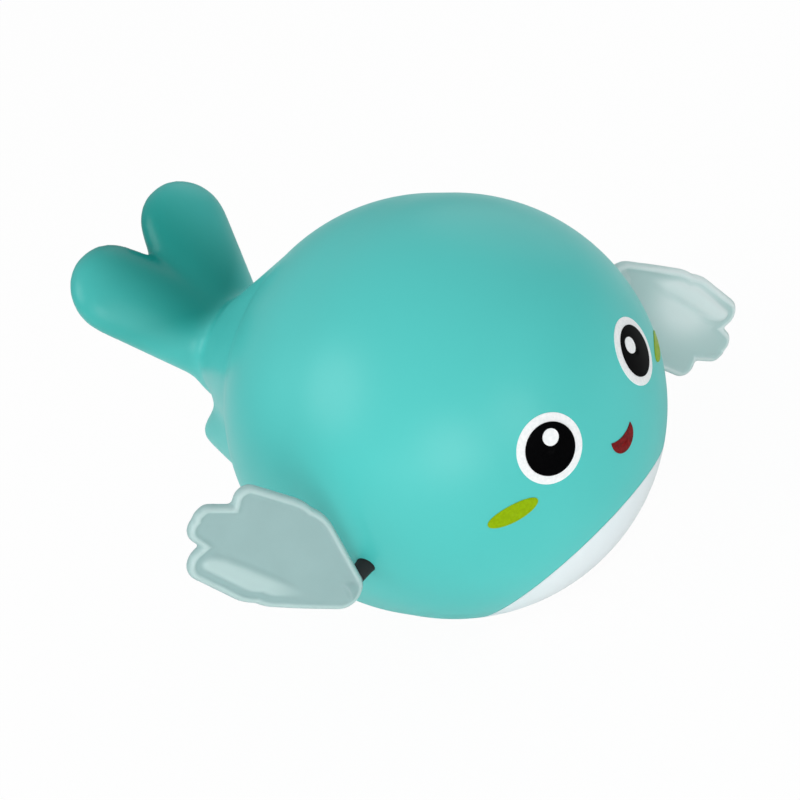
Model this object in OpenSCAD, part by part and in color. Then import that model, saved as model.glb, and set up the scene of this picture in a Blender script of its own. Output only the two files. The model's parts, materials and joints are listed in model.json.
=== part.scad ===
// Wind-up swimming whale for the bath: a round hard shell, a clockwork motor
// inside, and two paddle flippers on the ends of one cross axle.
// The whale looks along -Y, its flippers are on X, and Z = 0 is its flat belly.

/* [Body] */
// Radius of the round body
body_r = 40; // [38:0.5:44]
// Length added between the nose half and the back half
body_stretch = 5; // [2:0.5:8]
// Depth of the round that the flat of the belly takes off
flat_cut = 3; // [2.5:0.25:4]
// Wall of the moulded shells
wall = 2; // [1.6:0.1:2.4]
// Rise of the chin's parting line towards the nose, in degrees
chin_angle = 26; // [24:0.5:28]
// Height of the level part of the parting line
parting_h = 2.6; // [2.2:0.1:3]
// Distance in front of the body's centre where the parting line turns up
parting_front = 4; // [3.5:0.25:5]
// Thickness of the sealing gasket in the parting line
gasket_t = 0.4; // [0.3:0.05:0.6]
// Height of the lip that centres the belly in the body
lip_h = 2.5; // [1.5:0.25:3]
// Thickness of that lip
lip_t = 1.2; // [1:0.1:1.6]

/* [Tail] */
// Half width of the tail's stalk
stalk_r = 11.2; // [10.75:0.25:11.75]
// Distance of the stalk's middle behind the body's centre
stalk_back = 54; // [52:0.5:56]
// Height of the stalk's middle over the body's centre
stalk_rise = 12; // [10:0.5:14]
// Half thickness of the stalk
stalk_half_t = 7.4; // [7:0.1:8]
// Slope of the fluke's face over the level, in degrees
fluke_angle = 66; // [62:1:70]
// Radius of each round lobe of the fluke
lobe_r = 9.4; // [9:0.1:9.8]
// Distance of a lobe's centre from the middle, sideways
lobe_side = 10.9; // [10.5:0.1:11.3]
// Distance of a lobe's centre from the stalk's middle, along the fluke
lobe_length = 24; // [22:0.5:26]
// Thickness of the fluke
fluke_t = 10; // [9:0.25:11]
// Radius of the rounded heel under the tail
heel_r = 3; // [2.4:0.1:3.4]
// Half of the heel's width, between its end centres
heel_side = 16.6; // [15:0.2:17]
// Distance of the heel's centre behind the body's centre
heel_back = 48; // [46.5:0.5:49]
// Height of the heel's centre over the body's centre
heel_rise = 3.8; // [3:0.2:5]
// Radius of the neck where it runs out of the round back
neck_r = 16; // [14:0.5:18]
// Rise at which the top of the neck leaves the back, in degrees
neck_angle = 64; // [62:0.5:65]
// Rise at which the neck's shoulders leave the back, in degrees
shoulder_angle = 28; // [24:1:32]
// Turn of those shoulders to each side, in degrees
shoulder_turn = 42; // [38:1:46]
// Distance of the neck's end behind the body's centre
neck_back = 50; // [47:0.5:51]
// Radius of the neck's end
neck_end_r = 9.1; // [8:0.1:9.5]

/* [Face] */
// Radius of the white ring round an eye
eye_r = 6.4; // [5.8:0.1:7]
// Radius of the pupil
pupil_r = 4.85; // [4.4:0.05:5.2]
// Radius of the glint in an eye
glint_r = 1.55; // [1.3:0.05:1.9]
// Turn of an eye from the nose, in degrees
eye_turn_angle = 20.3; // [19:0.1:23]
// Height of an eye over the body's middle, in degrees
eye_tilt_angle = 6; // [4:0.5:9]
// Width of the mouth
mouth_w = 6.3; // [5.8:0.1:7]
// Height of the mouth
mouth_h = 4; // [3.6:0.1:4.4]
// Depth of the mouth under the body's middle, in degrees
mouth_tilt_angle = 7.7; // [6:0.1:10]
// Length of a cheek mark
cheek_l = 9.9; // [9:0.1:11]
// Width of a cheek mark
cheek_w = 3.5; // [3.2:0.1:4]
// Turn of a cheek mark from the nose, in degrees
cheek_turn_angle = 36.4; // [34:0.1:39]
// Depth of a cheek mark under the body's middle, in degrees
cheek_tilt_angle = 3.9; // [2:0.1:6]
// Thickness of a layer of printed ink
ink_t = 0.14; // [0.1:0.01:0.2]

/* [Axle and seals] */
// Diameter of the cross axle
axle_d = 3; // [2.6:0.1:3.2]
// Distance of the axle in front of the body's centre
axle_front = 9.2; // [8.5:0.1:10]
// Distance of the axle under the body's centre
axle_drop = 4.4; // [4:0.1:5]
// Outer diameter of a shaft seal
seal_d = 4.4; // [4.2:0.1:5]
// Length of a shaft seal
seal_l = 4.4; // [4:0.1:5]
// How far a shaft seal stands out of the shell
seal_proud = 1.4; // [1:0.1:1.6]
// Diameter of the boss that holds a seal
seal_boss_d = 10; // [8:0.5:12]
// Depth of that boss inside the shell
seal_boss_l = 6; // [5:0.5:7]

/* [Flippers] */
// Reach of a flipper from the axle to its middle tip
fin_l = 35.2; // [34:0.2:36]
// Thickness of a flipper's web
fin_t = 1.4; // [1.2:0.1:1.8]
// Height of the rim round a flipper
rim_h = 2.8; // [2.4:0.1:3.4]
// Width of that rim
rim_w = 1.1; // [0.9:0.1:1.4]
// Outward splay of a flipper, in degrees
fin_splay = 30; // [28:1:34]
// Pitch of a flipper about its own length, in degrees
fin_pitch = 28; // [24:1:32]
// Turn of the right flipper at rest, up from straight back, in degrees
fin_rest_angle = 82; // [60:1:100]
// Turn from the right flipper to the left one on the axle, in degrees
fin_phase_angle = 185; // [175:1:185]
// Radius of a flipper's hub
hub_r = 2.8; // [2.6:0.1:3.2]
// Length of a flipper's hub
hub_l = 6.5; // [6:0.25:7]
// Depth to which the axle enters a hub
hub_grip = 4.6; // [3.5:0.1:4.8]

/* [Motor case] */
// Width of the motor case across the whale
case_w = 26; // [25:0.5:27]
// Reach of the case in front of the body's centre
case_front = 23; // [22.5:0.25:24]
// Reach of the case behind the body's centre
case_back = 15; // [14.5:0.25:16]
// Depth of the case's bottom under the body's centre
case_drop = 23.5; // [23.4:0.05:23.75]
// Height of the case's top over the body's centre
case_rise = 19.5; // [19.2:0.1:20]
// Wall of the motor case
case_wall = 1.6; // [1.4:0.1:1.8]
// Diameter of a screw boss of the case
boss_d = 4.6; // [4.4:0.1:5]
// Clearance of the belly screws' bosses from the case's side walls
screw_room = 0.5; // [0.4:0.05:0.7]
// Place of the front belly screws, in front of the body's centre
screw_front = 14; // [13.5:0.25:14.5]
// Place of the back belly screws, behind the body's centre
screw_back = 7; // [6:0.25:8]
// Thread diameter of all the screws
screw_d = 2.2; // [2:0.1:2.4]
// Head diameter of all the screws
screw_head_d = 4; // [3.8:0.1:4.4]
// Head height of all the screws
screw_head_h = 1.6; // [1.4:0.1:1.8]
// Length of a belly screw inside the case
belly_screw_grip = 4.5; // [3.5:0.25:5]
// Length of a case screw under its head
case_screw_l = 8; // [6:0.5:10]
// Depth of the wells that hide the belly screws' heads
well_depth = 6; // [5.5:0.25:6.5]

/* [Clockwork] */
// Module of the great wheel and the axle pinion
drive_m = 0.6; // [0.58:0.01:0.62]
// Module of the faster wheels
train_m = 0.5; // [0.48:0.01:0.52]
// Teeth of the great wheel
great_teeth = 36; // [34:1:37]
// Teeth of the axle pinion
axle_teeth = 12; // [11:1:13]
// Teeth of the axle wheel
axle_wheel_teeth = 30; // [28:1:31]
// Teeth of both small pinions
pinion_teeth = 10; // [10:1:11]
// Teeth of the second wheel
second_teeth = 28; // [26:1:29]
// Pressure angle of the teeth, in degrees
pressure_angle = 20; // [20:1:22]
// Direction from the axle to the spring arbor, in degrees
spring_angle = 45; // [42:1:48]
// Direction from the axle to the second arbor, in degrees
second_angle = 250; // [248:1:252]
// Direction from the second arbor to the governor, in degrees
governor_angle = 350; // [348:1:352]
// Direction from the spring arbor to the spring's post, in degrees
post_angle = 120; // [115:5:125]
// Diameter of the spring arbor
arbor_d = 3; // [2.6:0.1:3.2]
// Diameter of the fast arbors
pin_d = 2; // [1.8:0.1:2.2]
// Diameter of the flywheel
flywheel_d = 12; // [11:0.5:12.5]
// Thickness of the flywheel
flywheel_t = 4; // [3.5:0.25:4.5]
// Thickness of the great wheel
great_t = 3; // [2.5:0.25:3]
// Thickness of the faster wheels
wheel_t = 2; // [1.6:0.1:2]
// Thickness of the mainspring's steel strip
strip_t = 0.4; // [0.3:0.05:0.45]
// Width of the mainspring's steel strip
strip_w = 5; // [4:0.25:5]
// Turns of the mainspring as it is drawn
spring_turns = 7; // [5:1:8]
// Distance from one turn of the mainspring to the next
strip_pitch = 1; // [0.8:0.05:1.05]

/* [Fits] */
// Radial clearance where a shaft turns in a bore
run_fit = 0.06; // [0.04:0.01:0.1]
// Radial clearance where a piece is pushed on and stays
seat_fit = 0.02; // [0.01:0.01:0.04]
// Gap between parts that pass each other
gap = 0.3; // [0.25:0.05:0.4]
// Backlash between two teeth
backlash = 0.12; // [0.1:0.01:0.16]

/* [Hidden] */
$fn = 96;
overrun = 1;
hull_fn = 32;
arc_steps = 16;
body_half = body_stretch / 2;
centre_h = body_r - flat_cut;
big = 3 * body_r;
lip_fit = 0.1;
bush_flange_t = 0.8;
bush_wall = 1;

// Shares of one size that set another
stalk_root_share = 1.3;
stalk_length_share = 0.875;
stalk_side_share = 0.1;
stalk_up_share = 0.4;
stalk_sink_share = 0.19;
stalk_core_share = 0.96;
heel_core_share = 0.94;
neck_wide_share = 1.2;
glint_rise_share = 0.4;
glint_shift_share = 0.2;
mouth_bow_share = 1;
mouth_lift_share = 0.125;
boss_depth_share = 2;
hub_sink_share = 0.33;
slot_width_share = 0.125;
slot_length_share = 0.667;
boss_inset_share = 0.25;
layer_gaps_share = 6.5;
wide_gap_share = 1.5;
tooth_root_share = 1.2;
wheel_tip_share = 0.65;
pinion_tip_share = 0.9;

// Places of the shafts, as distances back from the body's centre and heights
axle_y = -axle_front;
axle_z = centre_h - axle_drop;
drive_dist = drive_m * (great_teeth + axle_teeth) / 2 + backlash;
second_dist = train_m * (axle_wheel_teeth + pinion_teeth) / 2 + backlash;
governor_dist = train_m * (second_teeth + pinion_teeth) / 2 + backlash;
spring_y = axle_y + drive_dist * cos(spring_angle);
spring_z = axle_z + drive_dist * sin(spring_angle);
second_y = axle_y + second_dist * cos(second_angle);
second_z = axle_z + second_dist * sin(second_angle);
governor_y = second_y + governor_dist * cos(governor_angle);
governor_z = second_z + governor_dist * sin(governor_angle);

// Heights of the motor case, and the belly screws that hold it
case_bottom = centre_h - case_drop;
case_top = centre_h + case_rise;
belly_screw_l = case_bottom - well_depth + belly_screw_grip;
belly_post_l = belly_screw_grip + case_wall;

// Layers of the clockwork across the case, from its left inner wall
case_in = case_w / 2 - case_wall;
screw_side = case_in - boss_d / 2 - screw_room;
layer_gap = (2 * case_in - strip_w - great_t - 2 * wheel_t - flywheel_t) / layer_gaps_share;
spring_x = -case_in + layer_gap;
great_x = spring_x + strip_w + layer_gap;
axle_wheel_x = great_x + great_t + wide_gap_share * layer_gap;
second_x = axle_wheel_x + wheel_t + layer_gap;
flywheel_x = second_x + wheel_t + layer_gap;

// Where the shell's surface meets the axle
skin_x = sqrt(pow(body_r, 2) - pow(axle_drop, 2) - pow(axle_front - body_half, 2));
seal_out = skin_x + seal_proud;
hub_in = seal_out + gap;
hub_out = hub_in + hub_l;
axle_half = hub_in + hub_grip;
fin_root_x = hub_out - hub_sink_share * hub_r;

teal = "mediumturquoise";
steel = "silver";
nylon = "ivory";

// An upright oval of revolution laid along Y: two half balls and a short drum
module oval(r) {
    translate([0, 0, centre_h]) rotate([90, 0, 0]) rotate_extrude() intersection() {
        union() {
            translate([0, body_half]) circle(r = r);
            translate([0, -body_half]) circle(r = r);
            translate([0, -body_half]) square([r, body_stretch]);
        }
        translate([0, -big / 2]) square([big / 2, big]);
    }
}

module above(h) {
    translate([-big / 2, -big / 2, h]) cube([big, big, big]);
}

// All that lies under the parting line, which is level behind and rises to the chin
module under_parting(rise) {
    turn_y = -parting_front;
    rotate([90, 0, 90]) translate([0, 0, -big / 2]) linear_extrude(big) polygon([
        [big, -big], [big, parting_h + rise], [turn_y, parting_h + rise],
        [-big, parting_h + rise + (big + turn_y) * tan(chin_angle)], [-big, -big]
    ]);
}

// The hollow inside both shells
module cavity() {
    intersection() {
        oval(body_r - wall);
        above(wall);
    }
}

module along_x(x, y, z) {
    translate([x, y, z]) rotate([90, 0, 90]) children();
}

module both_sides() {
    children();
    mirror([1, 0, 0]) children();
}

// A pillow-shaped pad of the tail: half width, half length and half thickness
module tail_pad(x, w, wide, long, thick) {
    translate([x, w, 0]) scale([wide, long, thick] / wide) sphere(r = wide, $fn = hull_fn);
}

// Tail: a stalk out of the back that widens into the two lobes of a heart
module at_stalk() {
    translate([0, stalk_back, centre_h + stalk_rise]) rotate([fluke_angle, 0, 0]) children();
}

module tail() {
    root_r = stalk_root_share * stalk_r;
    half_l = stalk_length_share * stalk_r;
    side = stalk_side_share * stalk_r;
    sink = stalk_sink_share * stalk_r;
    at_stalk() both_sides() hull() {
        tail_pad(side, stalk_up_share * stalk_r, stalk_r - side, half_l, stalk_half_t);
        tail_pad(lobe_side, lobe_length, lobe_r, lobe_r, fluke_t / 2);
    }
    hull() {
        at_stalk()
            tail_pad(0, -sink, stalk_core_share * stalk_r, half_l, stalk_core_share * stalk_half_t);
        translate([0, body_r - root_r / 2, centre_h - sink]) sphere(r = root_r, $fn = hull_fn);
    }
}

// Neck: the back runs out into the tail's stalk, and spreads to both sides
module neck_ball(turn, rise) {
    translate([0, body_half, centre_h]) rotate([rise, 0, turn])
        translate([0, body_r - neck_r, 0]) sphere(r = neck_r, $fn = hull_fn);
}

module neck() {
    end_rise = (body_r - neck_end_r - (neck_back - body_half) * cos(neck_angle)) / sin(neck_angle);
    hull() {
        neck_ball(0, neck_angle);
        neck_ball(shoulder_turn, shoulder_angle);
        neck_ball(-shoulder_turn, shoulder_angle);
        translate([0, neck_back, centre_h + end_rise]) scale([neck_wide_share, 1, 1])
            sphere(r = neck_end_r, $fn = hull_fn);
    }
}

// Rounded heel under the tail, which falls away into the round of the body
module heel() {
    core_r = heel_core_share * body_r - heel_r;
    translate([0, 0, centre_h]) hull() {
        both_sides() translate([heel_side, heel_back, heel_rise]) sphere(r = heel_r, $fn = hull_fn);
        translate([0, body_half, heel_rise - heel_r]) sphere(r = core_r, $fn = hull_fn);
    }
}

module seal_boss() {
    intersection() {
        oval(body_r);
        both_sides() along_x(skin_x - seal_boss_l, axle_y, axle_z) cylinder(h = big, d = seal_boss_d);
    }
}

module axle_way() {
    both_sides() {
        along_x(skin_x - boss_depth_share * seal_boss_l, axle_y, axle_z)
            cylinder(h = big, d = axle_d + 2 * gap);
        along_x(seal_out - seal_l, axle_y, axle_z) cylinder(h = big, d = seal_d + 2 * seat_fit);
    }
}

module body_shell() {
    color(teal) difference() {
        union() {
            difference() {
                union() {
                    oval(body_r);
                    tail();
                    neck();
                    heel();
                }
                cavity();
            }
            seal_boss();
        }
        under_parting(gasket_t);
        axle_way();
    }
}

// Round stations of the four belly screws
module at_belly_screws(z) {
    both_sides() {
        translate([screw_side, -screw_front, z]) children();
        translate([screw_side, screw_back, z]) children();
    }
}

module shell_band(outer, inner, low, high) {
    difference() {
        intersection() {
            oval(body_r - outer);
            above(wall / 2);
            under_parting(high);
        }
        oval(body_r - inner);
        under_parting(low);
    }
}

module belly_shell() {
    color("whitesmoke") difference() {
        union() {
            difference() {
                intersection() {
                    oval(body_r);
                    above(0);
                    under_parting(0);
                }
                cavity();
            }
            shell_band(wall / 2, wall + lip_t, -lip_h, 0);
            shell_band(wall + lip_fit, wall + lip_t, -lip_h, lip_h);
            at_belly_screws(wall / 2) cylinder(h = case_bottom - wall / 2, d = screw_head_d + 2 * case_wall);
        }
        at_belly_screws(-overrun) cylinder(h = well_depth + overrun, d = screw_head_d + 2 * gap);
        at_belly_screws(-overrun) cylinder(h = case_bottom + 2 * overrun, d = screw_d + 2 * gap);
    }
}

module belly_gasket() {
    color("dimgray") shell_band(wall / 2, wall - lip_fit, 0, gasket_t);
}

// A pan-head screw standing on its head, with a crossed drive
module screw(shank) {
    slot_w = slot_width_share * screw_head_d;
    slot_l = slot_length_share * screw_head_d;
    difference() {
        cylinder(h = screw_head_h, d = screw_head_d);
        for (turn = [0, 90]) rotate(turn)
            translate([-slot_l / 2, -slot_w / 2, -overrun])
            cube([slot_l, slot_w, overrun + screw_head_h / 2]);
    }
    cylinder(h = screw_head_h + shank, d = screw_d);
}

module belly_screws() {
    color(steel) at_belly_screws(well_depth - screw_head_h) screw(belly_screw_l);
}

// Printed ink lies on the nose ball, turned to its place round the body's middle
module at_face(turn, tilt) {
    translate([0, -body_half, centre_h]) rotate([0, 0, turn]) rotate([90 - tilt, 0, 0]) children();
}

module ink(layer) {
    intersection() {
        children();
        difference() {
            sphere(r = body_r + (layer + 1) * ink_t);
            sphere(r = body_r + layer * ink_t);
        }
    }
}

module at_eyes() {
    for (side = [-1, 1]) at_face(side * eye_turn_angle, eye_tilt_angle) children();
}

module eye_whites() {
    color("white") at_eyes() ink(0) cylinder(h = big, r = eye_r);
}

module eye_pupils() {
    color("black") at_eyes() ink(1) cylinder(h = big, r = pupil_r);
}

module eye_glints() {
    rise = glint_rise_share * pupil_r;
    shift = glint_shift_share * pupil_r;
    color("white") for (side = [-1, 1]) at_face(side * eye_turn_angle, eye_tilt_angle) ink(2)
        translate([-side * shift, rise, 0]) cylinder(h = big, r = glint_r);
}

// A smile: the lower part of a disc, under a line that bows down
module mouth_print() {
    bow_r = mouth_bow_share * mouth_w;
    lip_y = mouth_h / 2 - mouth_lift_share * mouth_w;
    color("firebrick") at_face(0, -mouth_tilt_angle) ink(0) linear_extrude(big) difference() {
        intersection() {
            translate([0, lip_y]) circle(d = mouth_w);
            translate([-mouth_w / 2, -mouth_h]) square([mouth_w, mouth_h + mouth_h / 2]);
        }
        translate([0, lip_y + bow_r]) circle(r = bow_r);
    }
}

module cheek_prints() {
    color("yellowgreen") for (side = [-1, 1]) at_face(side * cheek_turn_angle, -cheek_tilt_angle) ink(0)
        linear_extrude(big) scale([cheek_l / cheek_w, 1]) circle(d = cheek_w);
}

module shaft_seals() {
    color("black") both_sides() along_x(seal_out - seal_l, axle_y, axle_z) difference() {
        cylinder(h = seal_l, d = seal_d);
        translate([0, 0, -overrun]) cylinder(h = seal_l + 2 * overrun, d = axle_d + 2 * run_fit);
    }
}

// Outline round two discs [x, y, radius] and their outer tangents, drawn in by inset
module finger(root, tip, inset) {
    run = [tip[0] - root[0], tip[1] - root[1]] * fin_l;
    way = atan2(run[1], run[0]);
    lean = acos((root[2] - tip[2]) * fin_l / norm(run));
    tip_arc = [for (i = [0:arc_steps]) way + lean * (2 * i / arc_steps - 1)];
    root_arc = [for (i = [0:arc_steps]) way + lean + (360 - 2 * lean) * i / arc_steps];
    polygon(concat(
        [for (a = tip_arc) [tip[0], tip[1]] * fin_l + (tip[2] * fin_l - inset) * [cos(a), sin(a)]],
        [for (a = root_arc) [root[0], root[1]] * fin_l + (root[2] * fin_l - inset) * [cos(a), sin(a)]]
    ));
}

// Shares of a flipper's length: x runs along it, y across it towards the outside
root_share = [0.01, -0.01, 0.09];
palm_share = [0.4, -0.06, 0.28];
knuckle_shares = [[0.52, -0.04, 0.28], [0.55, -0.084, 0.2], [0.5, -0.08, 0.27]];
tip_shares = [[0.775, 0.125, 0.09], [0.87, -0.084, 0.127], [0.768, -0.273, 0.08]];

module fin_outline(inset) {
    finger(root_share, palm_share, inset);
    for (i = [0:2]) finger(knuckle_shares[i], tip_shares[i], inset);
}

// A flipper that points straight back on the left side, before its turn about the axle
module flipper() {
    difference() {
        union() {
            along_x(hub_in, 0, 0) cylinder(h = hub_l, r = hub_r);
            translate([fin_root_x, 0, 0]) rotate([0, 0, 90 - fin_splay]) rotate([fin_pitch, 0, 0])
            mirror([0, 1, 0]) {
                translate([0, 0, -fin_t / 2]) linear_extrude(fin_t) fin_outline(0);
                translate([0, 0, -rim_h / 2]) linear_extrude(rim_h) difference() {
                    fin_outline(0);
                    fin_outline(rim_w);
                }
            }
        }
        along_x(hub_in - overrun, 0, 0) cylinder(h = hub_grip + gap + overrun, d = axle_d + 2 * seat_fit);
    }
}

module flipper_left() {
    color("lightcyan") translate([0, axle_y, axle_z])
        rotate([fin_rest_angle + fin_phase_angle, 0, 0]) flipper();
}

module flipper_right() {
    color("lightcyan") translate([0, axle_y, axle_z]) rotate([fin_rest_angle, 0, 0])
        mirror([1, 0, 0]) flipper();
}

module axle() {
    color(steel) along_x(-axle_half, axle_y, axle_z) cylinder(h = 2 * axle_half, d = axle_d);
}

module axle_bushes() {
    color("goldenrod") both_sides() along_x(case_in - bush_flange_t, axle_y, axle_z) difference() {
        union() {
            cylinder(h = bush_flange_t, d = axle_d + 4 * bush_wall);
            cylinder(h = bush_flange_t + case_wall, d = axle_d + 2 * bush_wall);
        }
        translate([0, 0, -overrun]) cylinder(h = case_w, d = axle_d + 2 * run_fit);
    }
}

// Bores in both side walls of the case for the bushes and arbors
module case_bores(x, depth) {
    bores = [
        [axle_y, axle_z, axle_d + 2 * bush_wall + 2 * seat_fit],
        [spring_y, spring_z, arbor_d + 2 * run_fit],
        [second_y, second_z, pin_d + 2 * run_fit],
        [governor_y, governor_z, pin_d + 2 * run_fit]
    ];
    for (b = bores) along_x(x, b[0], b[1]) cylinder(h = depth, d = b[2]);
}

module case_block(x, w, inset) {
    translate([x, inset - case_front, case_bottom + inset])
        cube([w, case_front + case_back - 2 * inset, case_top - case_bottom - 2 * inset]);
}

// Stations of the four case screws, in the corners
module at_case_corners(x) {
    inset = boss_d / 2 + boss_inset_share * case_wall;
    for (y = [inset - case_front, case_back - inset], z = [case_bottom + inset, case_top - inset])
        along_x(x, y, z) children();
}

module motor_case() {
    case_left = -case_w / 2;
    post_d = boss_d / 2;
    post_out = spring_r + strip_t + post_d / 2;
    color(nylon) difference() {
        union() {
            difference() {
                case_block(case_left, case_w - case_wall, 0);
                case_block(-case_in, case_w, case_wall);
            }
            at_case_corners(case_left) cylinder(h = case_w - case_wall, d = boss_d);
            at_belly_screws(case_bottom) cylinder(h = belly_post_l + case_wall, d = boss_d);
            along_x(-case_in - case_wall / 2, spring_y + post_out * cos(post_angle),
                spring_z + post_out * sin(post_angle))
                cylinder(h = strip_w + layer_gap + case_wall / 2, d = post_d);
        }
        case_bores(case_left - overrun, case_wall + 2 * overrun);
        at_belly_screws(case_bottom - overrun)
            cylinder(h = belly_post_l + overrun, d = screw_d + 2 * seat_fit);
        at_case_corners(case_in - case_screw_l)
            cylinder(h = case_screw_l + overrun, d = screw_d + 2 * seat_fit);
    }
}

module motor_cover() {
    color("gainsboro") difference() {
        case_block(case_in, case_wall, 0);
        case_bores(case_in - overrun, case_wall + 2 * overrun);
        at_case_corners(case_in - overrun) cylinder(h = case_wall + 2 * overrun, d = screw_d + 2 * gap);
    }
}

module case_screws() {
    color(steel) at_case_corners(case_w / 2 + screw_head_h) mirror([0, 0, 1])
        screw(case_screw_l + case_wall / 2);
}

// Mainspring: a spiral strip round its arbor, outer end hooked on the post of the case
spring_in = arbor_d / 2 + run_fit + strip_t / 2;
spring_r = spring_in + spring_turns * strip_pitch;
spring_steps = 24;

function spiral(turn, side) = let (r = spring_in + turn * strip_pitch + side * strip_t / 2)
    [r * cos(360 * turn), r * sin(360 * turn)];

module mainspring() {
    steps = spring_turns * spring_steps;
    color("slategray") along_x(spring_x, spring_y, spring_z) linear_extrude(strip_w) polygon(concat(
        [for (i = [0:steps]) spiral(i / spring_steps, 1)],
        [for (i = [steps:-1:0]) spiral(i / spring_steps, -1)]
    ));
}

module spring_arbor() {
    color(steel) along_x(-case_w / 2, spring_y, spring_z) cylinder(h = case_w, d = arbor_d);
}

// Involute gear, centred, with a tooth on its own x axis
function roll(base, r) = sqrt(pow(r / base, 2) - 1) * 180 / PI;
function flank(base, r) = roll(base, r) - atan(roll(base, r) * PI / 180);

module gear(teeth, m, thick, bore, tip_share) {
    pitch_r = m * teeth / 2;
    base = pitch_r * cos(pressure_angle);
    root = pitch_r - tooth_root_share * m;
    tip = pitch_r + tip_share * m;
    start = max(base, root);
    half = 90 / teeth - backlash / 2 / pitch_r * 180 / PI / 2;
    steps = 4;
    radii = [for (i = [0:steps]) start + (tip - start) * i / steps];
    away = [for (r = radii) half + flank(base, pitch_r) - flank(base, r)];
    outline = [for (t = [0:teeth - 1]) let (mid = 360 * t / teeth) each concat(
        [root * [cos(mid - away[0]), sin(mid - away[0])]],
        [for (i = [0:steps]) radii[i] * [cos(mid - away[i]), sin(mid - away[i])]],
        [for (i = [steps:-1:0]) radii[i] * [cos(mid + away[i]), sin(mid + away[i])]],
        [root * [cos(mid + away[0]), sin(mid + away[0])]]
    )];
    difference() {
        linear_extrude(thick) polygon(outline);
        translate([0, 0, -overrun]) cylinder(h = thick + 2 * overrun, d = bore);
    }
}

module great_wheel() {
    color(nylon) along_x(great_x, spring_y, spring_z) rotate(spring_angle + 180)
        gear(great_teeth, drive_m, great_t, arbor_d + 2 * seat_fit, wheel_tip_share);
}

module axle_pinion() {
    color("orange") along_x(great_x, axle_y, axle_z) rotate(spring_angle + 180 / axle_teeth)
        gear(axle_teeth, drive_m, great_t, axle_d + 2 * seat_fit, pinion_tip_share);
}

module axle_wheel() {
    color("orange") along_x(axle_wheel_x, axle_y, axle_z) rotate(second_angle)
        gear(axle_wheel_teeth, train_m, wheel_t, axle_d + 2 * seat_fit, wheel_tip_share);
}

module second_arbor() {
    color(steel) along_x(-case_w / 2, second_y, second_z) cylinder(h = case_w, d = pin_d);
}

module second_gear() {
    color("skyblue") {
        along_x(axle_wheel_x, second_y, second_z) rotate(second_angle + 180 + 180 / pinion_teeth)
            gear(pinion_teeth, train_m, second_x - axle_wheel_x + wheel_t / 2, pin_d + 2 * seat_fit,
                pinion_tip_share);
        along_x(second_x, second_y, second_z) rotate(governor_angle)
            gear(second_teeth, train_m, wheel_t, pin_d + 2 * seat_fit, wheel_tip_share);
    }
}

module governor_arbor() {
    color(steel) along_x(-case_w / 2, governor_y, governor_z) cylinder(h = case_w, d = pin_d);
}

module governor_pinion() {
    color("skyblue") along_x(second_x, governor_y, governor_z)
        rotate(governor_angle + 180 + 180 / pinion_teeth)
        gear(pinion_teeth, train_m, wheel_t, pin_d + 2 * seat_fit, pinion_tip_share);
}

module flywheel() {
    color("gold") along_x(flywheel_x, governor_y, governor_z) difference() {
        cylinder(h = flywheel_t, d = flywheel_d);
        translate([0, 0, -overrun]) cylinder(h = flywheel_t + 2 * overrun, d = pin_d + 2 * seat_fit);
    }
}

body_shell();
belly_shell();
belly_gasket();
belly_screws();
eye_whites();
eye_pupils();
eye_glints();
mouth_print();
cheek_prints();
shaft_seals();
flipper_right();
flipper_left();
axle();
axle_bushes();
motor_case();
motor_cover();
case_screws();
mainspring();
spring_arbor();
great_wheel();
axle_pinion();
axle_wheel();
second_arbor();
second_gear();
governor_arbor();
governor_pinion();
flywheel();
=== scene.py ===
import json
import math

import bpy
from mathutils import Matrix, Vector, kdtree


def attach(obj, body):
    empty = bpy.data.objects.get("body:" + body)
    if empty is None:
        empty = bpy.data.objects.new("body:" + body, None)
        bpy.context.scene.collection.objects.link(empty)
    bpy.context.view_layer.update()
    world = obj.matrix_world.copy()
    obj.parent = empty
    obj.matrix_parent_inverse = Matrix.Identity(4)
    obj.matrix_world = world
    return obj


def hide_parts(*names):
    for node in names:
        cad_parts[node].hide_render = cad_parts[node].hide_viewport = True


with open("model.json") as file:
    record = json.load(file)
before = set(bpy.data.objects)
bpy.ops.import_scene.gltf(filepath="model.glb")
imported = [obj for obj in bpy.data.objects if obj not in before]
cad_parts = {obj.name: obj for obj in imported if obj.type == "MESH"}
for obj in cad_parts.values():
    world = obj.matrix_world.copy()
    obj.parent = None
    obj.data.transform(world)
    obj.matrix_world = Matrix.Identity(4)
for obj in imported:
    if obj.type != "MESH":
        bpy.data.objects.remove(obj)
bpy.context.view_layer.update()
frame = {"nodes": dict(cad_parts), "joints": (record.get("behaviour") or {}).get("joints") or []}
nodes = frame["nodes"]
joints = {joint["name"]: joint for joint in frame["joints"]}
mm = 0.001

# sizes that every piece shares, in metres
whale = {
    "centre": Vector((0, 0, 37 * mm)),
    "radius": 40 * mm,
    "halfStretch": 2.5 * mm,  # the nose ball and the back ball stand this far from the middle
    "wall": 2 * mm,
    "axle": Vector(joints["paddle_spin"]["pos_m"]),
    "axleHole": 1.77 * mm,  # radius of the body's two side holes
    "holeReach": (35 * mm, 55 * mm),  # from the middle plane
}
acrossX = (0, math.pi / 2, 0)  # lays a drum along the axle


# working in object and edit mode

def only(piece):
    clearPicks()
    piece.select_set(True)
    bpy.context.view_layer.objects.active = piece


def clearPicks():
    if bpy.context.mode != "OBJECT":
        bpy.ops.object.mode_set(mode="OBJECT")
    bpy.ops.object.select_all(action="DESELECT")


def settle(piece):  # the place goes into the mesh, the object stays at the origin
    only(piece)
    bpy.ops.object.transform_apply(location=True, rotation=True, scale=True)
    return piece


def named(name):
    piece = bpy.context.active_object
    piece.name = name
    piece.data.name = name
    return settle(piece)


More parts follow.
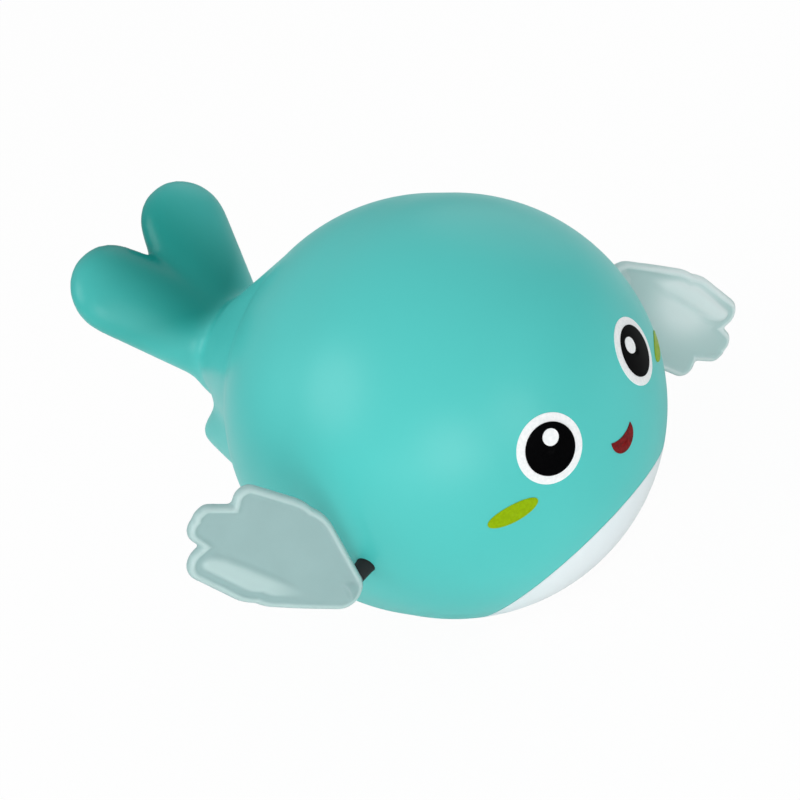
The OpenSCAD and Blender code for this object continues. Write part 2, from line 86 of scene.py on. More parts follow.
def choose(piece, kind, test):  # picks by place in code, then opens edit mode
    only(piece)
    bpy.ops.object.mode_set(mode="EDIT")
    bpy.ops.mesh.select_mode(type=kind)
    bpy.ops.mesh.select_all(action="DESELECT")
    done()
    mesh = piece.data
    if kind == "VERT":
        for point in mesh.vertices:
            point.select = test(point.co)
    elif kind == "EDGE":
        for edge in mesh.edges:
            first, second = (mesh.vertices[i].co for i in edge.vertices)
            edge.select = test((first + second) / 2, (second - first).normalized())
    else:
        for face in mesh.polygons:
            face.select = test(face.center, face.normal)
    bpy.ops.object.mode_set(mode="EDIT")


def chooseAll(piece):
    only(piece)
    bpy.ops.object.mode_set(mode="EDIT")
    bpy.ops.mesh.select_all(action="SELECT")


def done():
    bpy.ops.object.mode_set(mode="OBJECT")


def finishWith(piece, kind, **settings):
    only(piece)
    modifier = piece.modifiers.new(kind.lower(), kind)
    for key, value in settings.items():
        setattr(modifier, key, value)
    bpy.ops.object.modifier_apply(modifier=modifier.name)


def cutWith(piece, cutter, operation="DIFFERENCE"):
    finishWith(piece, "BOOLEAN", operation=operation, solver="EXACT", object=cutter)
    bpy.data.objects.remove(cutter)


def joined(pieces, name):
    only(pieces[0])
    for piece in pieces[1:]:
        piece.select_set(True)
    bpy.ops.object.join()
    return named(name)


def hullOf(pieces, name):
    hull = joined(pieces, name)
    chooseAll(hull)
    bpy.ops.mesh.convex_hull()
    done()
    return hull


def facesOut(piece, merge=0):  # doubles nearer than merge become one first
    chooseAll(piece)
    if merge:
        bpy.ops.mesh.remove_doubles(threshold=merge)
    bpy.ops.mesh.normals_make_consistent(inside=False)
    done()


def smoothShaded(piece, angle=38):
    only(piece)
    bpy.ops.object.shade_smooth_by_angle(angle=math.radians(angle))


def step(low, high, value):
    t = min(1, max(0, (value - low) / (high - low)))
    return t * t * (3 - 2 * t)


def bell(value, middle, width):
    return math.exp(-((value - middle) / width) ** 2)


def addBall(place, radius, segments=48, rings=24):
    clearPicks()
    bpy.ops.mesh.primitive_uv_sphere_add(segments=segments, ring_count=rings, radius=radius, location=place)
    return named("ball")


def addEgg(place, sizes, turn=(0, 0, 0), segments=48, rings=24):  # a ball with three half sizes
    clearPicks()
    bpy.ops.mesh.primitive_uv_sphere_add(segments=segments, ring_count=rings, radius=1,
                                         location=place, rotation=turn)
    bpy.context.active_object.scale = sizes
    return named("egg")


def addDrum(place, radius, depth, turn=(0, 0, 0), sides=64):
    clearPicks()
    bpy.ops.mesh.primitive_cylinder_add(vertices=sides, radius=radius, depth=depth,
                                        location=place, rotation=turn)
    return named("drum")


def addOval(name, radius):  # the round body: a ball whose halves are pulled apart along Y
    clearPicks()
    bpy.ops.mesh.primitive_uv_sphere_add(segments=128, ring_count=64, radius=radius,
                                         location=whale["centre"], rotation=(math.pi / 2, 0, 0))
    oval = named(name)
    seam = 0.001 * mm
    choose(oval, "VERT", lambda p: p.y > seam)
    bpy.ops.transform.translate(value=(0, whale["halfStretch"], 0))
    choose(oval, "VERT", lambda p: p.y < -seam)
    bpy.ops.transform.translate(value=(0, -whale["halfStretch"], 0))
    done()
    return oval


def ovalGap(place):  # height over the round body, and the way straight out
    out = place - whale["centre"]
    out.y -= min(whale["halfStretch"], max(-whale["halfStretch"], out.y))
    return out.length - whale["radius"], out.normalized()


# teal body with its tail and heel

tail = {
    "foot": Vector((0, 54 * mm, 49 * mm)),  # the fin's pads lie round this point, in its sloping plane
    "slope": math.radians(66),
    "stalk": (1.12 * mm, 4.48 * mm),  # sideways, along
    "stalkPad": (10.2 * mm, 9.9 * mm, 7.5 * mm),  # half width, half length, half thickness
    "core": (0, -2.13 * mm),
    "corePad": (10.9 * mm, 9.9 * mm, 7.2 * mm),
    "rootBall": (Vector((0, 32.72 * mm, 34.87 * mm)), 14.56 * mm),
    "lobe": (10.9 * mm, 24 * mm),
    "lobePad": (9.6 * mm, 9.6 * mm, 5.2 * mm),
}
neck = {  # the back runs level into the stalk and spreads to both sides
    "ball": 16 * mm,
    "ways": ((0, 64), (-42, 28), (42, 28)),  # balls just under the skin: sideways, up, in degrees
    "end": Vector((0, 50 * mm, 48.21 * mm)),
    "endPad": (11 * mm, 9.1 * mm, 9.1 * mm),
}
heel = {
    "side": 16.6 * mm,
    "back": 48 * mm,
    "height": 40.8 * mm,
    "radius": 3.1 * mm,
    "core": (Vector((0, 2.5 * mm, 37.8 * mm)), 34.6 * mm),
}
blend = {
    "voxel": 0.8 * mm,
    "quickVoxel": 1.2 * mm,
    "raised": 0.35 * mm,  # what stands higher over the ball is tail, neck or heel
    "full": 1.5 * mm,  # smoothed fully this near to them, and not at all past the reach
    "reach": 7 * mm,
    "turns": 26,
    "hold": 0.6,  # points with this share or more keep all that the smoothing made
}
parting = {
    "level": 3 * mm,
    "turn": -4 * mm,  # where along Y the level line starts to rise to the chin
    "slope": math.radians(26),
    "lip": 0.9 * mm,
    "drop": 0.32 * mm,
    "blockSize": 300 * mm,
}


def addPad(sideways, along, sizes):
    lean = Matrix.Rotation(tail["slope"], 3, "X")
    return addEgg(tail["foot"] + lean @ Vector((sideways, along, 0)), sizes, (tail["slope"], 0, 0), 64, 32)


def makeNeck():
    back = whale["centre"] + Vector((0, whale["halfStretch"], 0))
    balls = []
    for side, up in neck["ways"]:
        turn = Matrix.Rotation(math.radians(side), 3, "Z") @ Matrix.Rotation(math.radians(up), 3, "X")
        balls.append(addBall(back + turn @ Vector((0, whale["radius"] - neck["ball"], 0)), neck["ball"]))
    return hullOf(balls + [addEgg(neck["end"], neck["endPad"])], "neck")


def makeTail():
    parts = []
    for side in (-1, 1):
        root = addPad(side * tail["stalk"][0], tail["stalk"][1], tail["stalkPad"])
        lobe = addPad(side * tail["lobe"][0], tail["lobe"][1], tail["lobePad"])
        parts.append(hullOf([root, lobe], "lobe"))
    core = addPad(*tail["core"], tail["corePad"])
    parts.append(hullOf([core, addBall(*tail["rootBall"])], "stalk"))
    parts.append(makeNeck())
    places = [(side * heel["side"], heel["back"], heel["height"]) for side in (-1, 1)]
    ends = [addBall(place, heel["radius"]) for place in places]
    parts.append(hullOf(ends + [addBall(*heel["core"], 96, 48)], "heel"))
    return parts


def addBlock(part, lift=0):  # its top lies on the level or the rising part of the parting line
    size = parting["blockSize"]
    if part == "level":
        place, turn = Vector((0, 0, parting["level"] + lift - size / 2)), 0
    else:
        turn = -parting["slope"]
        way = Matrix.Rotation(turn, 3, "X") @ Vector((0, 0, 1))
        place = Vector((0, parting["turn"], parting["level"] + lift)) - way * size / 2
    clearPicks()
    bpy.ops.mesh.primitive_cube_add(size=size, location=place, rotation=(turn, 0, 0))
    return named("block")


def softShares(mesh):  # how much each point takes part in the smoothing, 0 to 1
    raised = kdtree.KDTree(len(mesh.vertices))
    for point in mesh.vertices:
        if ovalGap(point.co)[0] > blend["raised"]:
            raised.insert(point.co, point.index)
    raised.balance()
    return [1 - step(blend["full"], blend["reach"], raised.find(point.co)[2]) for point in mesh.vertices]


def smoothBlends(body):
    shares = softShares(body.data)
    group = body.vertex_groups.new(name="soft")
    for index, share in enumerate(shares):
        if share > 0:
            group.add([index], share, "REPLACE")
    finishWith(body, "SMOOTH", factor=0.5, iterations=blend["turns"], vertex_group="soft")
    body.vertex_groups.clear()
    for point, share in zip(body.data.vertices, shares):  # what is plain ball lies on the exact ball
        gap, way = ovalGap(point.co)
        point.co = point.co - way * gap * (1 - step(0, blend["hold"], share))


def cutParting(body):  # an outer lip comes down over the gasket to the belly
    for part in ("level", "rising"):
        cutWith(body, addBlock(part, -parting["drop"]))
        inner = addOval("inner", whale["radius"] - parting["lip"])
        cutWith(inner, addBlock(part), "INTERSECT")
        cutWith(body, inner)


def makeBody():
    body = joined([addOval("oval", whale["radius"])] + makeTail(), "body_skin")
    voxel = blend["voxel"]
    finishWith(body, "REMESH", mode="VOXEL", voxel_size=voxel)
    smoothBlends(body)
    cutWith(body, addOval("hollow", whale["radius"] - whale["wall"]))
    cutParting(body)
    near, far = whale["holeReach"]
    for side in (-1, 1):
        place = whale["axle"] + Vector((side * (near + far) / 2, 0, 0))
        cutWith(body, addDrum(place, whale["axleHole"], far - near, acrossX))
    smoothShaded(body)
    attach(body, "hull")
    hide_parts("body_shell")
    return body


# frosted flippers: three plump lobes with a rolled rim, on a round hub

flipper = {
    "length": 35.2 * mm,
    "lobes": (  # two discs and their tangents each: along, across and radius, as shares of the length
        ((0.01, -0.02, 0.115), (0.4, -0.06, 0.28)),  # root to palm
        ((0.52, -0.04, 0.28), (0.79, 0.12, 0.1)),  # lower lobe
        ((0.55, -0.084, 0.2), (0.93, -0.1, 0.06)),  # the middle lobe's blunt end is three
        ((0.55, -0.084, 0.2), (0.942, -0.082, 0.055)),
        ((0.55, -0.084, 0.2), (0.912, -0.035, 0.082)),
        ((0.5, -0.08, 0.272), (0.77, -0.25, 0.078)),  # upper lobe
    ),
    "blank": 1.4 * mm,  # half thickness before the relief
    "cup": 0.9,  # in mm, how far the blade bows
    "cupFrom": (0.1, 0.3),  # share of the length
    "voxel": 0.32 * mm,
    "rootX": 46.465 * mm,
    "splay": math.radians(30),
    "pitch": math.radians(28),
    "rest": math.radians(82),
    "phase": math.radians(185),  # the left flipper stands this much further round
    "hub": (42.75 * mm, 3.5 * mm, 2.3 * mm),  # inner end, length, radius
    "hubEdge": 0.5 * mm,
    "hubCrown": 1.03,
}
surface = {
    "rim": (0.75, 0.52),  # middle and width, in mm in from the outline
    "groove": (1.75, 0.35),
    "crease": 0.045,  # where the raised lower part ends across the blade, as a share of the length
    "creaseTurn": 0.03,  # how much further out it ends near the tips
    "turnFrom": (0.7, 0.86),  # shares of the length
    "ridgeSide": (-0.1, 1.3),  # the raised part grows over these mm past the crease
    "ridgeDeep": (2.05, 3.1),  # and over these mm in from the outline
    "ridgeFrom": (0.12, 0.45),  # and over these shares of the length
    "edge": (-0.35, 0.4),  # the shallow line along the crease: middle and width, in mm
    "edgeDeep": (2, 3),
    "edgeFrom": (0.25, 0.45),
    "height": {"web": 0.8, "rim": 0.55, "groove": -0.14, "ridge": 0.72, "edge": -0.1},  # in mm
    # how pale each part is painted: the rim is paler, the ridge carries a painted highlight, the groove and
    # the line along the crease carry painted shade
    "paleAndLight": {"web": 0.12, "rim": 0.95, "groove": -0.5, "ridge": 0.75, "edge": -0.35},
    "thinEdge": 0.42,  # share of the thickness that is left at the outline
    "thinDeep": 0.8,  # in mm, how far in the full thickness starts
}
litBlade = {  # painted highlight: the left flipper is coloured paler, most of all in its middle, for light that comes through it from behind
    "all": 0.9,
    "middle": 1.2,
    "along": (0.5, 0.26),
    "across": (0.05, 0.2),
}


def lobeDepth(x, y, root, tip):  # how deep a point lies inside two discs and their tangents
    reach = flipper["length"]
    ax, ay, ar = (v * reach for v in root)
    bx, by, br = (v * reach for v in tip)
    run = math.hypot(bx - ax, by - ay)
    ux, uy = (bx - ax) / run, (by - ay) / run
    along = (x - ax) * ux + (y - ay) * uy
    across = abs(-(x - ax) * uy + (y - ay) * ux)
    lean = (ar - br) / run
    flat = math.sqrt(1 - lean * lean)
    k = -lean * across + flat * along
    if k < 0:
        return ar - math.hypot(across, along)
    if k > flat * run:
        return br - math.hypot(across, along - run)
    return ar - across * flat - along * lean


def relief(x, y):  # half thickness in mm at a place of the flipper, and how pale it is painted, with its painted highlight and shade
    s = surface
    along, across = x / flipper["length"], y / flipper["length"]
    deep = max(lobeDepth(x, y, *lobe) for lobe in flipper["lobes"]) / mm
    crease = (across - s["crease"] - s["creaseTurn"] * step(*s["turnFrom"], along)) * flipper["length"] / mm
    shares = {
        "web": 1,
        "rim": bell(deep, *s["rim"]),
        "groove": bell(deep, *s["groove"]),
        "ridge": step(*s["ridgeSide"], crease) * step(*s["ridgeDeep"], deep) * step(*s["ridgeFrom"], along),
        "edge": bell(crease, *s["edge"]) * step(*s["edgeDeep"], deep) * step(*s["edgeFrom"], along),
    }
    half = sum(s["height"][part] * share for part, share in shares.items())
    paleAndLight = sum(s["paleAndLight"][part] * share for part, share in shares.items())
    thin = s["thinEdge"] + (1 - s["thinEdge"]) * step(0, s["thinDeep"], deep)
    return half * thin, min(1, max(0, paleAndLight))


def makeBlade():
    reach = flipper["length"]
    parts = []
    for lobe in flipper["lobes"]:
        discs = []
        for along, across, radius in lobe:
            place = (along * reach, across * reach, 0)
            discs.append(addDrum(place, radius * reach, 2 * flipper["blank"]))
        parts.append(hullOf(discs, "lobe"))
    blade = joined(parts, "blade")
    finishWith(blade, "REMESH", mode="VOXEL", voxel_size=flipper["voxel"])
    for point in blade.data.vertices:
        along = point.co.x / reach
        half, paleAndLight = relief(point.co.x, point.co.y)
        bow = flipper["cup"] * (0.5 - (2 * along - 1) ** 2) * step(*flipper["cupFrom"], along)
        point.co.z = point.co.z / flipper["blank"] * half * mm - bow * mm
    finishWith(blade, "SMOOTH", factor=0.5, iterations=3)
    return blade


def makeHub():
    inner, length, radius = flipper["hub"]
    middle = (inner + length / 2, 0, 0)
    hub = addDrum(middle, radius, length, acrossX)
    choose(hub, "FACE", lambda p, n: abs(n.x) > 0.9)
    bpy.ops.mesh.inset(thickness=flipper["hubEdge"])
    bpy.ops.transform.resize(value=(flipper["hubCrown"], 1, 1), center_override=middle)
    done()
    return hub


def keepPaleAndLight(piece, seat, lit):  # keeps how pale each point is painted, painted highlight and shade included, for the finish
    paleAndLight = piece.data.attributes.new("paleAndLight", "FLOAT", "POINT")
    back = seat.inverted()
    for point, value in zip(piece.data.vertices, paleAndLight.data):
        local = back @ point.co
        value.value = relief(local.x, local.y)[1]
        # painted highlight on the left flipper
        if lit:
            along, across = local.x / flipper["length"], local.y / flipper["length"]
            middle = bell(along, *litBlade["along"]) * bell(across, *litBlade["across"])
            value.value += litBlade["all"] + litBlade["middle"] * middle


def makeFlipper(name, side):
    blade = makeBlade()
    hub = makeHub()
    seat = Matrix.Translation((flipper["rootX"], 0, 0))
    seat = seat @ Matrix.Rotation(math.pi / 2 - flipper["splay"], 4, "Z")
    seat = seat @ Matrix.Rotation(flipper["pitch"], 4, "X") @ Matrix.Scale(-1, 4, (0, 1, 0))
    blade.data.transform(seat)
    piece = joined([blade, hub], name)
    facesOut(piece)
    finishWith(piece, "REMESH", mode="VOXEL", voxel_size=flipper["voxel"])
    finishWith(piece, "SMOOTH", factor=0.5, iterations=4)
    keepPaleAndLight(piece, seat, side > 0)
    turn = flipper["rest"] + (flipper["phase"] if side > 0 else 0)
    place = Matrix.Translation(whale["axle"]) @ Matrix.Rotation(turn, 4, "X")
    if side < 0:
        place = place @ Matrix.Scale(-1, 4, (1, 0, 0))
    piece.data.transform(place)
    facesOut(piece)
    only(piece)
    bpy.ops.object.shade_smooth()
    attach(piece, "paddle")
    return piece


# black shaft seals: a tube round the axle, slimmer at its outer end

seal = {
    "outer": whale["axleHole"] - 0.05 * mm,
    "inner": 1.57 * mm,
    "start": 36.189 * mm,  # from the middle plane
    "length": 5.9 * mm,
    "taper": 0.94,
    "innerEdge": 0.1 * mm,
    "near": 0.05 * mm,  # a point this near to a ring's edge counts as on it
}


def fromAxle(p):
    return math.hypot(p.y - whale["axle"].y, p.z - whale["axle"].z)


def makeSealRing(side):
    place = whale["axle"] + Vector((side * (seal["start"] + seal["length"] / 2), 0, 0))
    end = place + Vector((side * seal["length"] / 2, 0, 0))
    skin = seal["outer"] - seal["near"]
    ring = addDrum(place, seal["outer"], seal["length"], acrossX)
    choose(ring, "FACE", lambda p, n: abs(n.x) > 0.9)
    bpy.ops.mesh.inset(thickness=seal["outer"] - seal["inner"])
    bpy.ops.mesh.bridge_edge_loops()
    choose(ring, "VERT", lambda p: abs(p.x - end.x) < seal["near"] and fromAxle(p) > skin)
    bpy.ops.transform.resize(value=(1, seal["taper"], seal["taper"]), center_override=end)
    inward = seal["length"] / 2
    choose(ring, "EDGE", lambda p, n: abs(n.x) < 0.1 and abs(p.x - end.x) > inward and fromAxle(p) > skin)
    bpy.ops.mesh.bevel(offset=seal["innerEdge"], segments=4)
    done()
    return ring


def makeSeals():
    seals = joined([makeSealRing(side) for side in (-1, 1)], "seal_rings")
    facesOut(seals, 0.001 * mm)
    smoothShaded(seals)
    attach(seals, "hull")
    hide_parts("shaft_seals")
    return seals


bodySkin = makeBody()
print("body done", len(bodySkin.data.polygons))
rightFlipper = makeFlipper("flipper_right_blade", -1)
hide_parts("flipper_right")
leftFlipper = makeFlipper("flipper_left_blade", 1)
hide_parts("flipper_left")
print("flippers done", len(leftFlipper.data.polygons))
sealRings = makeSeals()
print("seals done")


# finishes

colours = {  # a dark and a light shade of each, as they show on a screen, 0 to 255
    "teal_plastic": ((80, 199, 193), (86, 206, 200)),
    "white_plastic": ((240, 248, 251), (247, 252, 254)),
    "frosted_plastic": ((160, 193, 192), (171, 204, 203)),
    "seal_black": ((12, 12, 13), (30, 30, 32)),
    "gasket_grey": ((150, 160, 160), (176, 184, 184)),
    "white_ink": ((240, 243, 243), (250, 251, 251)),
    "black_ink": ((1, 1, 2), (3, 3, 4)),
    "red_ink": ((96, 4, 6), (136, 10, 12)),
    "green_ink": ((138, 170, 2), (150, 183, 8)),
    "ground_steel": ((168, 170, 172), (214, 216, 218)),
    "screw_steel": ((176, 176, 176), (222, 222, 224)),
    "blued_steel": ((70, 78, 96), (104, 112, 128)),
    "turned_brass": ((190, 150, 70), (222, 186, 104)),
    "ivory_plastic": ((222, 220, 208), (234, 232, 222)),
    "orange_plastic": ((228, 124, 36), (238, 142, 56)),
    "blue_plastic": ((96, 152, 208), (116, 168, 220)),
}
finShade = {  # painted shade: the tail fin is coloured a darker teal, most of all in its middle, for the shade that the body casts on it
    "colour": (2, 142, 134),
    "along": (0, 8 * mm),  # up the fin from its foot
    "notch": 0.5,  # the painted shade starts later towards the sides
    "back": (44 * mm, 52 * mm),
    "aside": (3 * mm, 17 * mm),
    "least": 0.4,
}
frost = {  # the flippers' paler colours, each with the range of paleness over which it comes in; the rim colour is also the ridge's painted highlight, and the lit colour is painted highlight
    "rim": (200, 227, 225),
    "rimFrom": (0.05, 1.05),
    "lit": (240, 254, 253),
    "litFrom": (1.05, 2.1),
}


class Wire:  # one output of a node, with plain maths on it
    def __init__(self, board, out):
        self.board, self.out = board, out

    def join(self, operation, first, second):
        return self.board.add("ShaderNodeMath", {"operation": operation}, {0: first, 1: second})

    def __add__(self, other):
        return self.join("ADD", self, other)

    def __radd__(self, other):
        return self.join("ADD", other, self)

    def __sub__(self, other):
        return self.join("SUBTRACT", self, other)

    def __rsub__(self, other):
        return self.join("SUBTRACT", other, self)

    def __mul__(self, other):
        return self.join("MULTIPLY", self, other)

    def __rmul__(self, other):
        return self.join("MULTIPLY", other, self)


class Board:  # a node tree that nodes are added to
    def __init__(self, owner):
        owner.use_nodes = True
        self.owner = owner
        self.tree = owner.node_tree

    def add(self, kind, settings, values, out=0):
        node = self.tree.nodes.new(kind)
        for key, value in settings.items():
            setattr(node, key, value)
        for key, value in values.items():
            self.put(node.inputs[key], value)
        return Wire(self, node.outputs[out]) if node.outputs else None

    def put(self, socket, value):
        if isinstance(value, Wire):
            self.tree.links.new(value.out, socket)
        else:
            socket.default_value = value

    def split(self, vector):
        parts = self.add("ShaderNodeSeparateXYZ", {}, {0: vector})
        return [Wire(self, out) for out in parts.out.node.outputs]

    def between(self, value, low, high, under=0, over=1):  # runs softly from under at low to over at high
        values = {"Value": value, "From Min": low, "From Max": high, "To Min": under, "To Max": over}
        return self.add("ShaderNodeMapRange", {"interpolation_type": "SMOOTHSTEP"}, values)


class Finish(Board):
    def __init__(self, name):
        super().__init__(bpy.data.materials.new(name))
        self.name = name
        self.shader = next(n for n in self.tree.nodes if n.type == "BSDF_PRINCIPLED")
        self.place = self.add("ShaderNodeTexCoord", {}, {}, "Object")

    def noise(self, scale, detail=3, stretch=None):
        place = self.place
        if stretch:
            place = self.add("ShaderNodeMapping", {}, {"Vector": place, "Scale": stretch})
        return self.add("ShaderNodeTexNoise", {}, {"Vector": place, "Scale": scale, "Detail": detail}, "Fac")

    def tint(self, mask, first, second):
        return self.add("ShaderNodeMix", {"data_type": "RGBA"}, {0: mask, 6: first, 7: second}, 2)

    def patches(self, mask, low=0.3, high=0.7):  # the finish's two shades, in soft patches
        return self.tint(self.between(mask, low, high), *shades(self.name))

    def bump(self, height, distance, strength):
        values = {"Height": height, "Distance": distance, "Strength": strength}
        return self.add("ShaderNodeBump", {}, values, "Normal")

    def set(self, **values):
        names = {"colour": "Base Color", "rough": "Roughness", "metal": "Metallic", "normal": "Normal",
                 "ior": "IOR", "clear": "Transmission Weight", "sheen": "Specular IOR Level"}
        for key, value in values.items():
            self.put(self.shader.inputs[names[key]], value)
        return self.owner


def paint(red, green, blue):  # a colour as it shows on a screen, 0 to 255
    def level(v):
        v = v / 255
        return v / 12.92 if v <= 0.04045 else ((v + 0.055) / 1.055) ** 2.4
    return (level(red), level(green), level(blue), 1)


def shades(name):
    return [paint(*colour) for colour in colours[name]]


def tealFinish():
    f = Finish("teal_plastic")
    broad = f.noise(18, 2)
    fine = f.noise(1400, 2)
    speck = f.noise(260, 4)
    colour = f.patches(broad, 0.35, 0.65)
    side, back, up = f.split(f.place)
    foot, slope = tail["foot"], tail["slope"]
    rise = (back - foot.y) * math.cos(slope) + (up - foot.z) * math.sin(slope)
    aside = f.add("ShaderNodeMath", {"operation": "ABSOLUTE"}, {0: side})
    # painted shade: the fin's colour turns darker up from its foot and towards its middle, where the body
    # shades it
    finShadeArea = f.between(rise - finShade["notch"] * aside, *finShade["along"]) * f.between(back, *finShade["back"])
    deep = finShadeArea * f.between(aside, *finShade["aside"], 1, finShade["least"])
    colour = f.tint(deep, colour, paint(*finShade["colour"]))
    rough = 0.3 + 0.06 * speck + 0.04 * broad
    return f.set(colour=colour, rough=rough, normal=f.bump(fine, 0.02 * mm, 0.35), sheen=0.35)


def whiteFinish():
    f = Finish("white_plastic")
    colour = f.patches(f.noise(22, 2), 0.35, 0.65)
    rough = 0.34 + 0.08 * f.noise(260, 3)
    return f.set(colour=colour, rough=rough, normal=f.bump(f.noise(1300, 2), 0.02 * mm, 0.3))


def frostedFinish():
    f = Finish("frosted_plastic")
    paleAndLight = f.add("ShaderNodeAttribute", {"attribute_name": "paleAndLight"}, {}, "Fac")
    cloud = f.noise(160, 4)
    colour = f.tint(cloud, *shades(f.name))
    # paleness tints the blade: the rim paler, painted highlight on the ridge and the left flipper, painted
    # shade in the groove
    colour = f.tint(f.between(paleAndLight, *frost["rimFrom"]), colour, paint(*frost["rim"]))
    colour = f.tint(f.between(paleAndLight, *frost["litFrom"]), colour, paint(*frost["lit"]))
    normal = f.bump(f.noise(2600, 2), 0.02 * mm, 0.5)
    return f.set(colour=colour, rough=0.36 + 0.12 * cloud, normal=normal, clear=0.18, ior=1.46)


def inkFinish(name, rough=0.34, sheen=0.12):
    f = Finish(name)
    dots = f.noise(1800, 2)
    rough = rough + 0.08 * f.noise(400, 3)
    return f.set(colour=f.patches(dots), rough=rough, normal=f.bump(dots, 0.01 * mm, 0.3), sheen=sheen)


def rubberFinish(name):
    f = Finish(name)
    grain = f.noise(1500, 4)
    rough = 0.62 + 0.2 * grain
    return f.set(colour=f.tint(grain, *shades(name)), rough=rough, normal=f.bump(grain, 0.03 * mm, 0.5))


def metalFinish(name, stretch, rough=0.26):  # drawn or turned lines run across the long stretch
    f = Finish(name)
    lines = f.noise(900, 3, stretch)
    rough = rough + 0.14 * lines
    return f.set(colour=f.patches(lines), rough=rough, metal=1.0, normal=f.bump(lines, 0.01 * mm, 0.4))


def mouldedFinish(name):
    f = Finish(name)
    cloud = f.noise(120, 3)
    normal = f.bump(f.noise(1600, 2), 0.02 * mm, 0.35)
    return f.set(colour=f.patches(cloud), rough=0.42 + 0.12 * cloud, normal=normal)


def dress(material, *pieces):
    for piece in pieces:
        if piece.material_slots:
            for place in piece.material_slots:
                place.material = material
        else:
            piece.data.materials.append(material)


def dressNodes(material, *names):
    dress(material, *(nodes[name] for name in names))


dress(tealFinish(), bodySkin)
dress(frostedFinish(), rightFlipper, leftFlipper)
dress(rubberFinish("seal_black"), sealRings)
dressNodes(whiteFinish(), "belly_shell")
dressNodes(rubberFinish("gasket_grey"), "belly_gasket")
dressNodes(inkFinish("white_ink"), "eye_whites", "eye_glints")
dressNodes(inkFinish("black_ink", 0.28, 0.02), "eye_pupils")
dressNodes(inkFinish("red_ink"), "mouth_print")
dressNodes(inkFinish("green_ink", 0.34, 0.06), "cheek_prints")
dressNodes(metalFinish("ground_steel", (30, 1, 1)), "axle", "spring_arbor", "second_arbor", "governor_arbor")
dressNodes(metalFinish("screw_steel", (1, 1, 12)), "belly_screws", "case_screws")
dressNodes(metalFinish("blued_steel", (12, 1, 1)), "mainspring")
dressNodes(metalFinish("turned_brass", (20, 1, 1), 0.22), "axle_bushes", "flywheel")
dressNodes(mouldedFinish("ivory_plastic"), "motor_case", "motor_cover", "great_wheel")
dressNodes(mouldedFinish("orange_plastic"), "axle_pinion", "axle_wheel")
dressNodes(mouldedFinish("blue_plastic"), "second_gear", "governor_pinion")
print("finishes done")


# floor, light and camera

studio = {
    "floorSize": 6.0,
    "floorDrop": 0.05 * mm,  # just under the belly
    "floorColour": (244, 244, 243),
    "floorGlow": 0.96,  # share of plain white that the camera sees
    "skyColour": (0.97, 0.985, 1, 1),
    "skyLow": 0.34,
    "skyHigh": 0.69,
    "skyBand": (0.05, 0.75),  # how high the change lies
    "lamps": {  # the way to each from the body's centre, its distance, width and power
        "key_lamp": {"way": (-0.665, 0.314, 0.673), "far": 0.6, "size": 0.36, "power": 0.8},
        "front_left_lamp": {"way": (-0.74, -0.64, 0.12), "far": 0.7, "size": 0.4, "power": 1.35},
        "front_lamp": {"way": (-0.2, -0.97, 0.12), "far": 0.7, "size": 0.3, "power": 0.6},
        "left_lamp": {"way": (-0.97, -0.2, 0.14), "far": 0.7, "size": 0.2, "power": 0.15},
        "right_lamp": {"way": (0.88, 0.15, 0.42), "far": 0.6, "size": 0.5, "power": 0.35},
    },
}
photo = {  # the camera that was fitted to the photograph
    "right": Vector((0.5739, -0.7042, -0.4180)),
    "up": Vector((0.6302, 0.0539, 0.7745)),
    "back": Vector((-0.5229, -0.7079, 0.4748)),
    "far": 461.76 * mm,
    "lens": 110,
    "sensor": 36,
    "nearest": 10 * mm,
    "middle": (444.7, 405.1),  # where the body's centre shows in the photograph's 800 by 800 frame
    "frame": 800,
}
plainWhite = (1, 1, 1, 1)


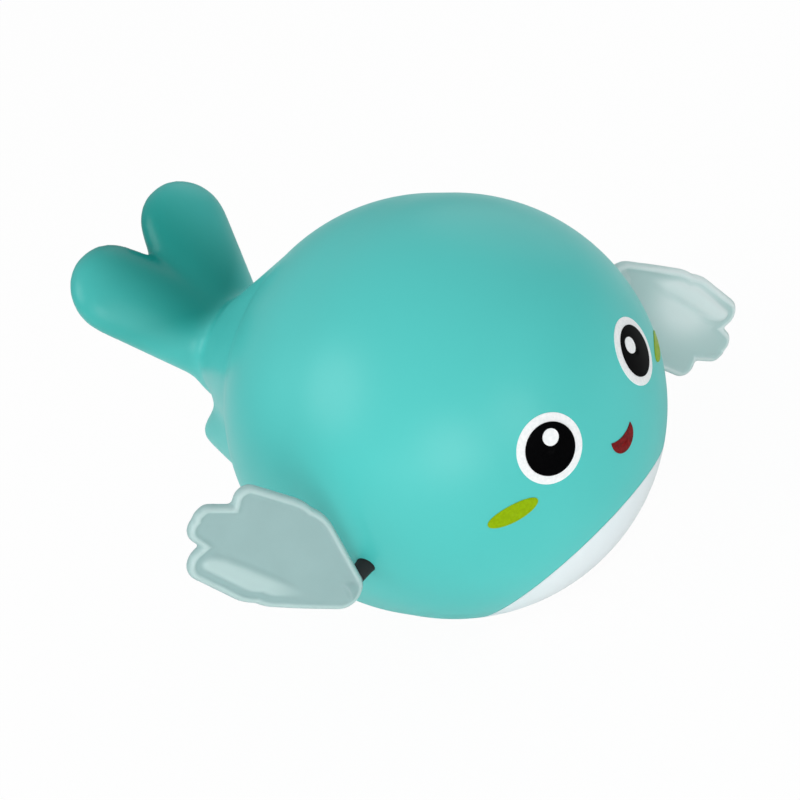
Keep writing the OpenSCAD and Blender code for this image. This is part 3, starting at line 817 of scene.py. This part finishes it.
def makeFloor():
    clearPicks()
    bpy.ops.mesh.primitive_plane_add(size=studio["floorSize"], location=(0, 0, -studio["floorDrop"]))
    floor = named("studio_floor")
    f = Finish("pale_floor")
    f.set(colour=paint(*studio["floorColour"]), rough=0.7)
    share = f.add("ShaderNodeLightPath", {}, {}, "Is Camera Ray") * studio["floorGlow"]
    glow = f.add("ShaderNodeEmission", {}, {"Color": plainWhite, "Strength": 1.0})
    plain = Wire(f, f.shader.outputs[0])
    end = next(n for n in f.tree.nodes if n.type == "OUTPUT_MATERIAL")
    f.put(end.inputs["Surface"], f.add("ShaderNodeMixShader", {}, {0: share, 1: plain, 2: glow}))
    dress(f.owner, floor)


def makeWorld():  # a pale tent, brighter overhead than at the sides
    world = bpy.data.worlds.new("studio")
    bpy.context.scene.world = world
    board = Board(world)
    board.tree.nodes.clear()
    up = board.split(board.add("ShaderNodeTexCoord", {}, {}, "Generated"))[2]
    strength = board.between(up, *studio["skyBand"], studio["skyLow"], studio["skyHigh"])
    sky = board.add("ShaderNodeBackground", {}, {"Color": studio["skyColour"], "Strength": strength})
    white = board.add("ShaderNodeBackground", {}, {"Color": plainWhite, "Strength": 1.0})
    seen = board.add("ShaderNodeLightPath", {}, {}, "Is Camera Ray")
    mix = board.add("ShaderNodeMixShader", {}, {0: seen, 1: sky, 2: white})
    board.add("ShaderNodeOutputWorld", {}, {"Surface": mix})


def addLamp(name, values):
    clearPicks()
    way = Vector(values["way"]).normalized()
    place = whale["centre"] + way * values["far"]
    bpy.ops.object.light_add(type="AREA", location=place, rotation=way.to_track_quat("Z", "Y").to_euler())
    lamp = bpy.context.active_object
    lamp.name = name
    lamp.data.shape = "DISK"
    lamp.data.size = values["size"]
    lamp.data.energy = values["power"]


def makeCamera():
    clearPicks()
    place = whale["centre"] + photo["back"] * photo["far"]
    bpy.ops.object.camera_add(location=place)
    camera = bpy.context.active_object
    camera.name = "photo_camera"
    turn = Matrix((photo["right"], photo["up"], photo["back"])).transposed()
    camera.matrix_world = Matrix.Translation(place) @ turn.to_quaternion().to_matrix().to_4x4()
    camera.data.lens = photo["lens"]
    camera.data.sensor_width = photo["sensor"]
    camera.data.clip_start = photo["nearest"]
    camera.data.shift_x = (photo["frame"] / 2 - photo["middle"][0]) / photo["frame"]
    camera.data.shift_y = (photo["middle"][1] - photo["frame"] / 2) / photo["frame"]
    bpy.context.scene.camera = camera


makeFloor()
makeWorld()
for lampName, values in studio["lamps"].items():
    addLamp(lampName, values)
makeCamera()
bpy.context.scene.view_settings.view_transform = "Standard"
print("studio done")

clearPicks()
